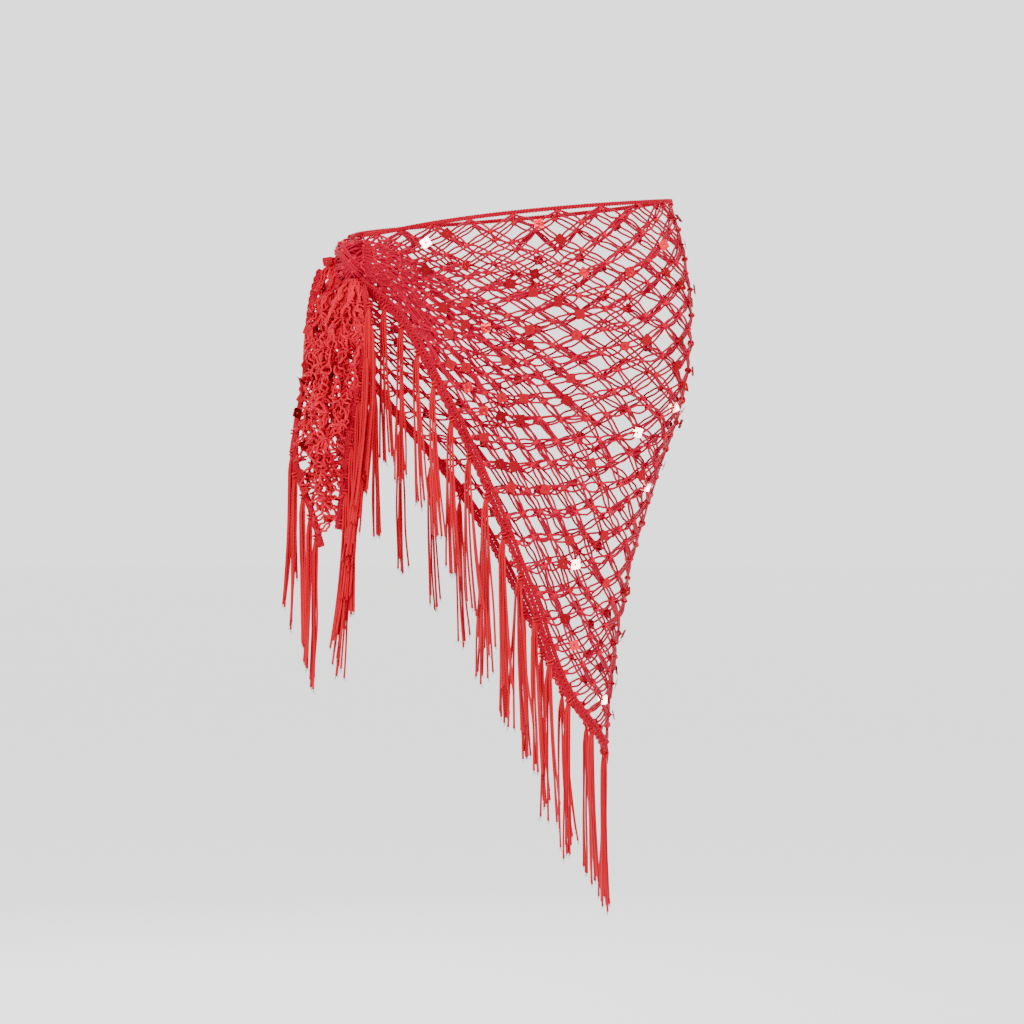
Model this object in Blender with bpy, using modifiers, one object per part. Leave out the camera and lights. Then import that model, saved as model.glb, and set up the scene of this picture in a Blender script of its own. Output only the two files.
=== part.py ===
# Hip scarf: one triangle of knotted cord net, worn round the hips.
# Its long edge is the waist edge. Its two ends are tied at the wearer's right front hip,
# its middle corner hangs by the left thigh, and both short edges carry a fringe.
# Metres, +Z up. The wearer faces -Y, and their left is +X.
# The origin is the middle of the hip hollow, at the height of the waist edge's top.

import math
from collections import namedtuple

import bmesh
import bpy
from mathutils import Vector

MM = 0.001
UP = Vector((0, 0, 1))
DOWN = -UP
SHARP_ANGLE = math.radians(40)

# General hip form that the cloth goes round, in mm.
HipSection = namedtuple("HipSection", "height half_width front_depth back_depth")
HIP_SECTIONS = (
    HipSection(-600, 86, 84, 85),
    HipSection(-570, 87, 85, 86),
    HipSection(-500, 91, 87, 89),
    HipSection(-430, 100, 91, 94),
    HipSection(-350, 115, 96, 102),
    HipSection(-270, 139.5, 101, 112),
    HipSection(-200, 163, 106, 122),
    HipSection(-130, 173, 110, 124),
    HipSection(-60, 167, 109, 114),
    HipSection(0, 152, 104, 101),
    HipSection(20, 146, 100, 96),
)

# Where every fourth column of the net meets the waist edge and the fringed border.
# Step 0 is the middle of the cloth, and step 24 goes into the knot. Angles in degrees
# go round from the front (-Y) by the left side (+X), and heights are in mm.
NetColumn = namedtuple(
    "NetColumn", "step front_waist front_border back_waist back_border border_height"
)
NET_COLUMNS = (
    NetColumn(0, 113, 92, 113, 92, -563),
    NetColumn(4, 69, 33, 149, 150, -493),
    NetColumn(8, 31, 6, 180, 181, -392),
    NetColumn(12, -1.5, -12.5, 210, 206, -292),
    NetColumn(16, -27, -26, 241, 234, -201),
    NetColumn(20, -45, -40, 266, 260, -127),
    NetColumn(24, -60.2, -60.2, 285.1, 285.1, -86),
)
KNOT_STEP = 24
NEAR_STEP = 0.1
MIDDLE_ANGLE = 113
WAIST_DROP = 45 * MM
WAIST_DROP_POWER = 1.5
COLUMN_BEND = 1.7

# Net walls.
NET_THICKNESS = 2.4 * MM
WALL_COLUMNS = 27
MIDDLE_SEAM_ANGLE = 0.1
FoldSet = namedtuple("FoldSet", "count rows")
FRONT_FOLDS = FoldSet(5, 30)
BACK_FOLDS = FoldSet(4, 24)
FOLD_SHARPNESS = 6.3
FOLD_MOST = 5.0 * MM
FOLD_PEAK_STEPS = 7
FOLD_REACH_STEPS = 6
FOLD_UNEVEN = 0.4
FOLD_UNEVEN_TURN = 9
FOLD_HEM_FLATNESS = 6

# Crochet border and its tassels.
BORDER_WIDTH = 9.5 * MM
BORDER_THICKNESS = 3.0 * MM
BORDER_GAP = 0.8 * MM
Fringe = namedtuple("Fringe", "tassels from_share")
Hang = namedtuple("Hang", "stagger spread")
WRAP_TASSELS = Fringe(15, 0)
TASSEL_LENGTH = 140 * MM
TASSEL_UNEVEN = 7 * MM
HEAD_HALF = 3.5 * MM
HEAD_OUT = 5.0 * MM
HEAD_DOWN = 5.0 * MM
CORD = 2.2 * MM
CORD_GAP = 0.7 * MM
CORD_SPREAD = 2.2 * MM
TASSEL_LEAN = 3 * MM

# Waist edge cord.
WAIST_CORD = 4.6 * MM
WAIST_POINTS = 54

# Knot and the lift of the cloth into it.
KNOT_ANGLE = -67
KNOT_HEIGHT = -62 * MM
KNOT_OUT = 10 * MM
KNOT_HALF = Vector((18.6, 14, 22)) * MM
KNOT_ROUNDNESS = 2.6
KNOT_WRAPS = 3
KNOT_GROOVE = 0.07
KNOT_SLANT = 0.5
KNOT_RINGS = 18
KNOT_SIDES = 20
LIFT_MOST = 11 * MM
LIFT_REACH = 14

# Tied ends. Each row is one level of the hanging cloth: height, then the X and Y of its
# fringed edge and of its plain edge, and how far its folds swing to each side, in mm.
TailLevel = namedtuple("TailLevel", "height fringed_x fringed_y plain_x plain_y fold")
TAIL_FRONT = (
    TailLevel(-82.4, -158, -62, -170, -54, 0.2),
    TailLevel(-98, -151, -78, -176, -62, 1.2),
    TailLevel(-130, -149, -86, -189, -65, 3.0),
    TailLevel(-180, -157, -82, -197, -66, 4.5),
    TailLevel(-230, -166, -74, -200, -66, 4.0),
    TailLevel(-280, -173, -63, -196, -58, 2.0),
    TailLevel(-325, -179, -54, -190, -50, 0.3),
)
TAIL_BACK = (
    TailLevel(-84.4, -173, -38, -162, -46, 0.2),
    TailLevel(-100, -182, -25, -168, -41, 0.6),
    TailLevel(-140, -200, -10, -179, -41, 2.5),
    TailLevel(-180, -212, -10, -183, -43, 4.5),
    TailLevel(-220, -218, -17, -184, -45, 4.5),
    TailLevel(-260, -216, -23, -184, -45, 4.0),
    TailLevel(-305, -201, -29, -183, -43, 1.2),
    TailLevel(-342, -191, -34, -182, -41, 0.2),
)
TAIL_THICKNESS = 2.0 * MM
TAIL_ROWS = 16
TAIL_ROW_CROWDING = 1.3
TAIL_WAVES = 3
TAIL_POINTS_A_WAVE = 6
TAIL_END_FLATNESS = 6
TAIL_BORDER_WIDTH = 5.5 * MM
TAIL_STAGGER = 7.0 * MM
TAIL_CORD_SPREAD = 0.2 * MM
TASSEL_PATTERN = (-1, 0, 1)
TAIL_BORDER_START = 0.04
NEAR_SHARE = 0.01
TAIL_FRONT_TASSELS = Fringe(10, 0.12)
TAIL_BACK_TASSELS = Fringe(7, 0.46)


def clear_scene():
    for obj in list(bpy.data.objects):
        bpy.data.objects.remove(obj, do_unlink=True)


def smooth_value(rows, key, name, at):
    """The named column of a table at a place between its rows, on a smooth curve."""
    rows = sorted(rows, key=lambda row: getattr(row, key))
    keys = [getattr(row, key) for row in rows]
    values = [getattr(row, name) for row in rows]
    at = min(max(at, keys[0]), keys[-1])
    i = max(k for k in range(len(keys) - 1) if keys[k] <= at)

    def slope(k):
        before, after = max(k - 1, 0), min(k + 1, len(keys) - 1)
        return (values[after] - values[before]) / (keys[after] - keys[before])

    span = keys[i + 1] - keys[i]
    t = (at - keys[i]) / span
    return (
        (2 * t**3 - 3 * t**2 + 1) * values[i]
        + (t**3 - 2 * t**2 + t) * span * slope(i)
        + (3 * t**2 - 2 * t**3) * values[i + 1]
        + (t**3 - t**2) * span * slope(i + 1)
    )


def hip_value(name, z):
    return smooth_value(HIP_SECTIONS, "height", name, z / MM) * MM


def column_value(name, step):
    return smooth_value(NET_COLUMNS, "step", name, step)


def form_point(angle, z):
    """A point of the hip form, at an angle in degrees and a height."""
    turn = math.radians(angle)
    side, ahead = math.sin(turn), math.cos(turn)
    depth = hip_value("front_depth" if ahead > 0 else "back_depth", z)
    return Vector((hip_value("half_width", z) * side, -depth * ahead, z))


def form_normal(angle, z):
    round_it = form_point(angle + 1, z) - form_point(angle - 1, z)
    up = form_point(angle, z + MM) - form_point(angle, z - MM)
    return round_it.cross(up).normalized()


def knot_lift(angle):
    """How far the cloth leaves the hips on its way into the knot."""
    off = (angle - KNOT_ANGLE + 180) % 360 - 180
    return LIFT_MOST * math.exp(-((off / LIFT_REACH) ** 2))


def cloth_point(angle, z, out=0.0):
    return form_point(angle, z) + form_normal(angle, z) * (out + knot_lift(angle))


def angle_of(point):
    """The angle and height whose form point has this point's direction."""
    half = hip_value("half_width", point.z)
    depth = hip_value("front_depth" if point.y < 0 else "back_depth", point.z)
    return math.degrees(math.atan2(point.x / half, -point.y / depth))


def waist_height(angle):
    off = abs((angle - MIDDLE_ANGLE + 180) % 360 - 180)
    return -WAIST_DROP * (off / (MIDDLE_ANGLE - KNOT_ANGLE)) ** WAIST_DROP_POWER


def border_frame(side, step):
    """The border's outer line at a step: point, cloth normal, and the way out of the cloth."""
    def place(at):
        return column_value(side + "_border", at), column_value("border_height", at) * MM

    def point(at):
        return cloth_point(*place(at))

    low, high = max(step - NEAR_STEP, 0), min(step + NEAR_STEP, KNOT_STEP)
    along = (point(high) - point(low)).normalized()
    normal = form_normal(*place(step))
    outward = along.cross(normal).normalized()
    if outward.z > 0:
        outward = -outward
    if step > 0:
        return point(step), normal, outward
    # Both borders meet on the upright through the corner, so their ends are mitred there.
    mitre = (DOWN - normal * normal.dot(DOWN)).normalized()
    away = UP.cross(normal) * (BORDER_GAP / 2)
    corner = point(0) + (away if side == "back" else -away)
    return corner, normal, mitre / mitre.dot(outward)


def wall_edge(side, step):
    """Angle and height of the net's lower edge, just inside the border."""
    point, normal, outward = border_frame(side, step)
    border = column_value(side + "_border", step)
    on_form = point - normal * knot_lift(border)
    inner = on_form - outward * (BORDER_WIDTH + BORDER_GAP)
    angle = angle_of(inner)
    return border + (angle - border + 180) % 360 - 180, inner.z


def fold_height(folds, step, depth, column_length):
    """How far the folds that run out of the knot lift the cloth."""
    period = column_length / folds.count
    from_knot = KNOT_STEP - step
    fade = math.exp(-((max(from_knot - FOLD_PEAK_STEPS, 0) / FOLD_REACH_STEPS) ** 2))
    most = min(FOLD_SHARPNESS * period**2, FOLD_MOST) * fade
    uneven = 1 - FOLD_UNEVEN * (1 + math.sin(FOLD_UNEVEN_TURN * depth)) / 2
    flat_hem = 1 - depth**FOLD_HEM_FLATNESS
    return most * uneven * flat_hem * (1 - math.cos(2 * math.pi * folds.count * depth)) / 2


def net_point(side, folds, step, depth):
    """A point of the net's inner face, from the waist edge (0) to the border (1)."""
    waist = column_value(side + "_waist", step)
    seam = MIDDLE_SEAM_ANGLE * (1 if side == "back" else -1) * (step == 0)
    waist += seam
    lower, lower_z = wall_edge(side, step)
    lower += seam
    top_z = waist_height(waist)
    z = top_z + (lower_z - top_z) * depth
    angle = waist + (lower - waist) * depth**COLUMN_BEND
    return cloth_point(angle, z, fold_height(folds, step, depth, top_z - lower_z))


def material(name, colour, roughness):
    made = bpy.data.materials.new(name)
    made.use_nodes = True
    shader = made.node_tree.nodes["Principled BSDF"]
    shader.inputs["Base Color"].default_value = (*colour, 1)
    shader.inputs["Roughness"].default_value = roughness
    shader.inputs["Metallic"].default_value = 0
    made.diffuse_color = (*colour, 1)
    return made


def add_object(name, bm, collection, look):
    mesh = bpy.data.meshes.new(name)
    bm.to_mesh(mesh)
    bm.free()
    mesh.shade_smooth()
    mesh.set_sharp_from_angle(angle=SHARP_ANGLE)
    mesh.materials.append(look)
    obj = bpy.data.objects.new(name, mesh)
    collection.objects.link(obj)
    return obj


def add_closed(name, bm, collection, look):
    bm.normal_update()
    bmesh.ops.recalc_face_normals(bm, faces=bm.faces)
    add_object(name, bm, collection, look)


def add_cloth(name, rows, thickness, offset, collection, look):
    """Joins rows of points of equal number into one sheet, and gives it its thickness."""
    bm = bmesh.new()
    verts = [[bm.verts.new(point) for point in row] for row in rows]
    for low, high in zip(verts, verts[1:]):
        for k in range(len(low) - 1):
            bm.faces.new((low[k], low[k + 1], high[k + 1], high[k]))
    wall = add_object(name, bm, collection, look).modifiers.new("cloth thickness", "SOLIDIFY")
    wall.thickness = thickness
    wall.offset = offset
    wall.use_even_offset = True


def build_net(side, folds, collection, look):
    rows = []
    for i in range(WALL_COLUMNS + 1):
        step = KNOT_STEP * (1 - i / WALL_COLUMNS)
        rows.append(
            [net_point(side, folds, step, k / folds.rows) for k in range(folds.rows + 1)]
        )
    # Rows in the order of rising angle turn the sheet's faces outwards.
    if side == "back":
        rows.reverse()
    add_cloth("net_" + side, rows, NET_THICKNESS, 1, collection, look)


def build_waist_edge(collection, look):
    """The chain-stitched cord that the net hangs from, all round to the knot."""
    curve = bpy.data.curves.new("waist_edge", "CURVE")
    curve.dimensions = "3D"
    curve.bevel_depth = WAIST_CORD / 2
    curve.bevel_resolution = 1
    curve.use_fill_caps = True
    spline = curve.splines.new("POLY")
    spline.points.add(WAIST_POINTS - 1)
    first, last = NET_COLUMNS[-1].front_waist, NET_COLUMNS[-1].back_waist
    for i, point in enumerate(spline.points):
        angle = first + (last - first) * i / (WAIST_POINTS - 1)
        z = waist_height(angle) + WAIST_CORD / 2 + BORDER_GAP
        point.co = (*cloth_point(angle, z, WAIST_CORD / 2), 1)
    obj = bpy.data.objects.new("waist_edge", curve)
    curve.materials.append(look)
    collection.objects.link(obj)


def superellipsoid(across, round_it):
    """Direction on a rounded block, with the grooves between the knot's wraps."""
    def powered(value):
        return math.copysign(abs(value) ** (2 / KNOT_ROUNDNESS), value)

    unit = Vector(
        (
            powered(math.cos(across)) * powered(math.cos(round_it)),
            powered(math.cos(across)) * powered(math.sin(round_it)),
            powered(math.sin(across)),
        )
    )
    wind = math.sin(KNOT_WRAPS * across + KNOT_SLANT * math.sin(round_it))
    groove = KNOT_GROOVE * (1 - abs(wind)) * math.cos(across)
    return unit * (1 - groove)


def build_knot(collection, look):
    bm = bmesh.new()
    bmesh.ops.create_uvsphere(bm, u_segments=KNOT_SIDES, v_segments=KNOT_RINGS, radius=1)
    centre = form_point(KNOT_ANGLE, KNOT_HEIGHT)
    out = form_normal(KNOT_ANGLE, KNOT_HEIGHT)
    out.z = 0
    out.normalize()
    centre = centre + out * KNOT_OUT
    along = out.cross(UP)
    for vert in bm.verts:
        across = math.asin(max(-1, min(1, vert.co.z)))
        round_it = math.atan2(vert.co.y, vert.co.x)
        place = superellipsoid(across, round_it)
        vert.co = (
            centre
            + along * place.x * KNOT_HALF.x
            + out * place.y * KNOT_HALF.y
            + UP * place.z * KNOT_HALF.z
        )
    add_closed("knot", bm, collection, look)


def tassel_length(index):
    """Uneven cord lengths that repeat each build."""
    return TASSEL_LENGTH + TASSEL_UNEVEN * math.sin(2.4 * index) * math.cos(0.9 * index)


def add_tassel(bm, start, end, normal, outward, index, hang):
    """A tassel head flaring from the border's lower face, with four cords hanging from it.
    start and end hold the border's lower inner and outer corners."""
    flat_out = Vector((normal.x, normal.y, 0)).normalized()
    sideways = UP.cross(flat_out)
    between = (end[0].co + end[1].co - start[0].co - start[1].co) / 2
    if sideways.dot(between - outward * HEAD_HALF * 2) < 0:
        sideways = -sideways
    middle = (start[0].co + start[1].co + end[0].co + end[1].co) / 4
    head = middle + outward * HEAD_OUT + DOWN * HEAD_DOWN
    head += flat_out * hang.stagger * TASSEL_PATTERN[index % len(TASSEL_PATTERN)]
    stops = [0, CORD, CORD + CORD_GAP, 2 * CORD + CORD_GAP]
    half = stops[-1] / 2
    base = [
        [
            bm.verts.new(head + sideways * (stops[i] - half) + flat_out * (stops[j] - half))
            for j in range(4)
        ]
        for i in range(4)
    ]
    # Each side of the head spreads from a border edge to three base edges.
    sides = (
        (start[0], start[1], base[0]),
        (start[1], end[1], [base[i][3] for i in range(4)]),
        (end[1], end[0], base[3][::-1]),
        (end[0], start[0], [base[i][0] for i in range(3, -1, -1)]),
    )
    for first, second, low in sides:
        bm.faces.new((first, low[0], low[1]))
        bm.faces.new((first, low[1], low[2], second))
        bm.faces.new((second, low[2], low[3]))
    for i in range(3):
        for j in range(3):
            corners = (base[i][j], base[i][j + 1], base[i + 1][j + 1], base[i + 1][j])
            if i == 1 or j == 1:
                bm.faces.new(corners)
            else:
                spread = ((i - 1) * sideways + (j - 1) * flat_out) * hang.spread
                add_cord(bm, corners, spread, 4 * index + i + j // 2)


def add_cord(bm, corners, spread, index):
    """One fringe cord: a square tube from its root in the head to its closed end."""
    length = tassel_length(index)
    root = sum((vert.co for vert in corners), Vector()) / 4
    ring = list(corners)
    for share in (0.5, 1.0):
        lean = Vector((TASSEL_LEAN * share**2, 0, 0))
        centre = root + DOWN * length * share + spread * share + lean
        new_ring = [bm.verts.new(centre + (vert.co - root)) for vert in corners]
        for k in range(4):
            bm.faces.new((ring[k], ring[(k + 1) % 4], new_ring[(k + 1) % 4], new_ring[k]))
        ring = new_ring
    bm.faces.new(ring)


def build_fringed_border(name, frame_at, fringe, width, hang, collection, look):
    """A narrow border strip with a tassel at even spacing.
    frame_at gives the outer line's point, cloth normal and way out, from 0 to 1."""
    def section(at):
        point, normal, outward = frame_at(at)
        thick = normal * BORDER_THICKNESS
        inner = point - outward * width
        return [bm.verts.new(p) for p in (inner, inner + thick, point, point + thick)]

    bm = bmesh.new()
    half = HEAD_HALF / path_length(frame_at)
    spacing = (1 - fringe.from_share) / fringe.tassels
    bare = math.ceil(fringe.from_share / half)
    stops = [(fringe.from_share * i / bare, None) for i in range(bare)]
    stops.append((fringe.from_share, None))
    for i in range(fringe.tassels):
        middle = fringe.from_share + (i + 0.5) * spacing
        stops += [(middle - half, i), (middle + half, None), (middle + spacing / 2, None)]
    sections = [section(at) for at, _ in stops]
    for (at, tassel), low, high in zip(stops, sections, sections[1:]):
        bm.faces.new((low[0], low[1], high[1], high[0]))
        bm.faces.new((low[1], low[3], high[3], high[1]))
        bm.faces.new((low[0], low[2], high[2], high[0]))
        if tassel is None:
            bm.faces.new((low[2], low[3], high[3], high[2]))
        else:
            _, normal, outward = frame_at(at)
            start, end = (low[2], low[3]), (high[2], high[3])
            add_tassel(bm, start, end, normal, outward, tassel, hang)
    for end in (sections[0], sections[-1]):
        bm.faces.new((end[0], end[1], end[3], end[2]))
    add_closed(name, bm, collection, look)


def path_length(frame_at):
    points = [frame_at(i / 100)[0] for i in range(101)]
    return sum((b - a).length for a, b in zip(points, points[1:]))


def build_wrap_fringe(side, collection, look):
    def frame_at(at):
        return border_frame(side, KNOT_STEP * (1 - min(at, 1)))

    name = "border_fringe_" + side
    hang = Hang(0, CORD_SPREAD)
    build_fringed_border(name, frame_at, WRAP_TASSELS, BORDER_WIDTH, hang, collection, look)


def tail_height(levels, at):
    """The level, in mm, at a share of the way from the knot to the tip."""
    top, tip = levels[0].height, levels[-1].height
    return top + (tip - top) * at


def tail_edge(levels, edge, at):
    height = tail_height(levels, at)
    x = smooth_value(levels, "height", edge + "_x", height)
    y = smooth_value(levels, "height", edge + "_y", height)
    return Vector((x, y, height)) * MM


def tail_frame(levels, at):
    """The tail border's outer line: point, cloth normal and way out of the cloth."""
    edge = tail_edge(levels, "fringed", at)
    across = edge - tail_edge(levels, "plain", at)
    low, high = max(at - NEAR_SHARE, 0), min(at + NEAR_SHARE, 1)
    along = tail_edge(levels, "fringed", high) - tail_edge(levels, "fringed", low)
    normal = across.cross(DOWN).normalized()
    outward = along.cross(normal).normalized()
    if outward.dot(across) < 0:
        outward = -outward
    reach = BORDER_GAP + TAIL_BORDER_WIDTH
    return edge + outward * reach - normal * BORDER_THICKNESS / 2, normal, outward


def build_tail(name, levels, collection, look):
    """A tied end: a wall in upright folds, gathered into the knot and tapering to its tip."""
    columns = TAIL_WAVES * TAIL_POINTS_A_WAVE
    rows = []
    for i in range(TAIL_ROWS + 1):
        at = (i / TAIL_ROWS) ** TAIL_ROW_CROWDING
        plain = tail_edge(levels, "plain", at)
        across = tail_edge(levels, "fringed", at) - plain
        aside = across.cross(DOWN).normalized()
        most = smooth_value(levels, "height", "fold", tail_height(levels, at)) * MM
        row = []
        for k in range(columns + 1):
            share = k / columns
            flat_end = 1 - (2 * share - 1) ** TAIL_END_FLATNESS
            wave = math.sin(2 * math.pi * TAIL_WAVES * share) * flat_end
            row.append(plain + across * share + aside * most * wave)
        rows.append(row)
    add_cloth(name, rows, TAIL_THICKNESS, 0, collection, look)


def build_tail_fringe(name, levels, fringe, collection, look):
    def frame_at(at):
        return tail_frame(levels, TAIL_BORDER_START + (1 - TAIL_BORDER_START) * at)

    hang = Hang(TAIL_STAGGER, TAIL_CORD_SPREAD)
    build_fringed_border(name, frame_at, fringe, TAIL_BORDER_WIDTH, hang, collection, look)


def main():
    clear_scene()
    collection = bpy.data.collections.new("hip_scarf")
    bpy.context.scene.collection.children.link(collection)
    red_net = material("red net cord", (0.62, 0.008, 0.014), 0.55)
    red_fringe = material("red fringe cord", (0.68, 0.010, 0.018), 0.5)
    red_edge = material("red crochet edge", (0.56, 0.006, 0.012), 0.6)
    build_net("front", FRONT_FOLDS, collection, red_net)
    build_net("back", BACK_FOLDS, collection, red_net)
    build_waist_edge(collection, red_edge)
    build_knot(collection, red_edge)
    build_wrap_fringe("front", collection, red_fringe)
    build_wrap_fringe("back", collection, red_fringe)
    build_tail("tail_front", TAIL_FRONT, collection, red_net)
    build_tail("tail_back", TAIL_BACK, collection, red_net)
    build_tail_fringe("tail_front_fringe", TAIL_FRONT, TAIL_FRONT_TASSELS, collection, red_fringe)
    build_tail_fringe("tail_back_fringe", TAIL_BACK, TAIL_BACK_TASSELS, collection, red_fringe)


main()
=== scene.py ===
# Hip scarf, worn: one triangle of knotted cord net, with a crochet border, tassels and square sequins.
# The wearer's left is +X and the front is -Y. Sizes are in mm until a piece is made.
from functools import partial

import bpy
import numpy as np
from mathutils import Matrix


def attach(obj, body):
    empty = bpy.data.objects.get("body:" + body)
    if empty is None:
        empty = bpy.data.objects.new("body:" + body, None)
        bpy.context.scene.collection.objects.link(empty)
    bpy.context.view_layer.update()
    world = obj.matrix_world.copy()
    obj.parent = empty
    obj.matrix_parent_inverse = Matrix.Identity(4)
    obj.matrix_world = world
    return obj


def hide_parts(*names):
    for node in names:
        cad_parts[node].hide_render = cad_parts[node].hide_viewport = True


mm = 0.001
rng = np.random.default_rng(20)  # the same scarf each run
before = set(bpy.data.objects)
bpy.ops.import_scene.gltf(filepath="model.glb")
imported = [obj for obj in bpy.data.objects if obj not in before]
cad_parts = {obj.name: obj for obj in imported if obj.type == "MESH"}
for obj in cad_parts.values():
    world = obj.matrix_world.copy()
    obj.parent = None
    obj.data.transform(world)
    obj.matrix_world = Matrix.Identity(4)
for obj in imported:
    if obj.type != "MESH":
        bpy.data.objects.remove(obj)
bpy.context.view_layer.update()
print("frame loaded with", len(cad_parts), "CAD nodes")

up = np.array([0.0, 0.0, 1.0])


def unit(vectors):
    return vectors / np.maximum(np.linalg.norm(vectors, axis=-1, keepdims=True), 1e-9)


def times(amount, vectors):  # each vector at its own length
    return np.asarray(amount)[..., None] * vectors


def smooth(table, key, name, at):  # a table's column between its rows, on one smooth curve
    keys, values = np.array(table[key], float), np.array(table[name], float)
    order = np.arange(len(keys))
    before, after = np.maximum(order - 1, 0), np.minimum(order + 1, order[-1])
    slope = (values[after] - values[before]) / (keys[after] - keys[before])
    at = np.clip(at, keys[0], keys[-1])
    i = np.clip(np.searchsorted(keys, at, "right") - 1, 0, len(keys) - 2)
    span = keys[i + 1] - keys[i]
    t = (at - keys[i]) / span
    rising = 3 * t**2 - 2 * t**3
    bend = (t**3 - 2 * t**2 + t) * slope[i] + (t**3 - t**2) * slope[i + 1]
    return values[i] + (values[i + 1] - values[i]) * rising + bend * span


# Camera at the photo's angle, pale floor and soft studio light.
studio = {
    "cameraFrom": (-5, -3200, -309),
    "lens": 112.5, "sensor": 36,
    "frame": 1024,  # the photo's side in pixels
    "floorHeight": -1050,
    "floorReach": 40000,
    "floorColour": "#fcfbfa",
    "skyColour": "#ffffff",
    "sky": 2.0,
    # where it stands, the height it aims at, its size and its watts
    "lights": {
        "key": ((-1500, -2300, 900), -250, 1100, 54),
        "fill": ((1900, -1900, 300), -300, 1500, 19),
        "top": ((300, -300, 1900), -200, 1400, 18),
        "back": ((-600, 2300, 700), -300, 1500, 28),
    },
}


def linear(hexColour):  # sRGB hex to linear, with full alpha
    parts = [int(hexColour[i : i + 2], 16) / 255 for i in (1, 3, 5)]
    return [c / 12.92 if c <= 0.04045 else ((c + 0.055) / 1.055) ** 2.4 for c in parts] + [1]


def addNode(tree, kind, settings=None, links=None):  # a node, its values or colour stops, and what feeds it
    node = tree.nodes.new("ShaderNode" + kind)
    for name, value in (settings or {}).items():
        if name == "stops":
            for _ in range(len(value) - len(node.color_ramp.elements)):
                node.color_ramp.elements.new(1)
            for stop, (at, hexColour) in zip(node.color_ramp.elements, value):
                stop.position, stop.color = at, linear(hexColour)
        elif isinstance(name, int) or name in node.inputs:
            node.inputs[name].default_value = value
        else:
            setattr(node, name, value)
    for name, socket in (links or {}).items():
        tree.links.new(socket, node.inputs[name])
    return node


def maths(tree, operation, *terms):  # a sum in the shader, of sockets and plain numbers
    sockets = {i: term for i, term in enumerate(terms) if isinstance(term, bpy.types.NodeSocket)}
    numbers = {i: term for i, term in enumerate(terms) if i not in sockets}
    return addNode(tree, "Math", {"operation": operation, **numbers}, sockets).outputs[0]


def noise(tree, size, detail):  # patches of so many mm
    spot = addNode(tree, "TexCoord").outputs["Object"]
    settings = {"Scale": 1 / (size * mm), "Detail": detail}
    return addNode(tree, "TexNoise", settings, {"Vector": spot}).outputs["Fac"]


def startMaterial(name):
    made = bpy.data.materials.new(name)
    made.use_nodes = True
    made.node_tree.nodes.clear()
    return made, made.node_tree


def cordMaterial(name, look):
    made, tree = startMaterial(name)
    place = addNode(tree, "UVMap", {"uv_map": "cord"})
    apart = addNode(tree, "SeparateXYZ", links={0: place.outputs["UV"]})
    # Plies: ridges that climb round the cord, so many to each pitch.
    climb = maths(tree, "DIVIDE", apart.outputs["Y"], look["pitch"])
    turn = maths(tree, "ADD", climb, apart.outputs["X"])
    wave = maths(tree, "SINE", maths(tree, "MULTIPLY", turn, 2 * np.pi * look["plies"]))
    ridge = addNode(tree, "MapRange", {"From Min": -1, "From Max": 1}, {0: wave})
    fibre, dye = noise(tree, look["fibre"], 2), noise(tree, look["dyePatch"], 1)
    island = addNode(tree, "NewGeometry")
    # Colour: painted shade, darker in the grooves between the plies where shade falls, and a little uneven
    # from cord to cord and patch to patch.
    uneven = maths(tree, "ADD", dye, island.outputs["Random Per Island"])
    level = maths(tree, "MULTIPLY_ADD", ridge.outputs[0], look["paintedGrooveShade"], uneven)
    level = maths(tree, "DIVIDE", level, 2 + look["paintedGrooveShade"])
    colour = addNode(tree, "ValToRGB", {"stops": look["dyesAndPaintedLight"]}, {0: level})
    plyBump = addNode(tree, "Bump", {"Distance": look["plyDepth"] * mm}, {"Height": ridge.outputs[0]})
    fibreBump = addNode(tree, "Bump", {"Strength": 0.4, "Distance": look["fibreDepth"] * mm},
                        {"Height": fibre, "Normal": plyBump.outputs[0]})
    rough, spread = look["roughness"], look["roughSpread"]
    rough = addNode(tree, "MapRange", {"To Min": rough - spread, "To Max": rough + spread}, {0: fibre})
    shader = addNode(tree, "BsdfPrincipled",
                     {"IOR": look["ior"], "Specular IOR Level": look["gloss"],
                      "Specular Tint": linear(look["tint"]), "Sheen Weight": look["sheen"],
                      "Sheen Roughness": look["sheenRoughness"], "Sheen Tint": linear(look["tint"])},
                     {"Base Color": colour.outputs[0], "Roughness": rough.outputs[0],
                      "Normal": fibreBump.outputs[0]})
    addNode(tree, "OutputMaterial", links={0: shader.outputs[0]})
    return made


# Twisted viscose cord, dyed: light goes through the long smooth fibres and comes out red, so even its
# gloss is red and the colour stays deep. Its real pitch of about 5 mm is drawn at 8 mm, because finer
# plies don't show at this distance.
netLook = {
    "plies": 3, "pitch": 8, "plyDepth": 0.3, "fibre": 0.5, "fibreDepth": 0.12, "dyePatch": 60,
    # The lower colour stops serve both the painted shade in the ply grooves and the darker dye patches and
    # cords.
    "paintedGrooveShade": 1.1, "dyesAndPaintedLight": [(0, "#700115"), (0.5, "#9d0327"), (1, "#b70530")],
    "roughness": 0.42, "roughSpread": 0.08, "ior": 1.53, "gloss": 0.15,
    "sheen": 0.07, "sheenRoughness": 0.35, "tint": "#ff2838",
}
# The same cord drawn tight into knots, with lighter dyes: painted light, because a knot stands proud and
# catches the most light, so it is drawn as the brightest red of the net.
paintedLitKnotLook = {**netLook, "pitch": 5, "dyesAndPaintedLight": [(0, "#98021c"), (0.5, "#be072c"), (1, "#d00d36")]}
# In the tails the cords lie many deep; their lighter dyes are painted light, standing in for the light that
# goes from one cord to the next and comes out a brighter red.
paintedBounceTailLook = {**netLook, "dyesAndPaintedLight": [(0, "#900218"), (0.5, "#c40528"), (1, "#de0b32")]}
# The fringe is the same viscose left straight and untied: it hangs in smooth lines and shines most.
fringeLook = {**netLook, "pitch": 9, "roughness": 0.36, "gloss": 0.19,
              "dyesAndPaintedLight": [(0, "#7c0111"), (0.5, "#b2041e"), (1, "#ce0826")]}
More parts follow.
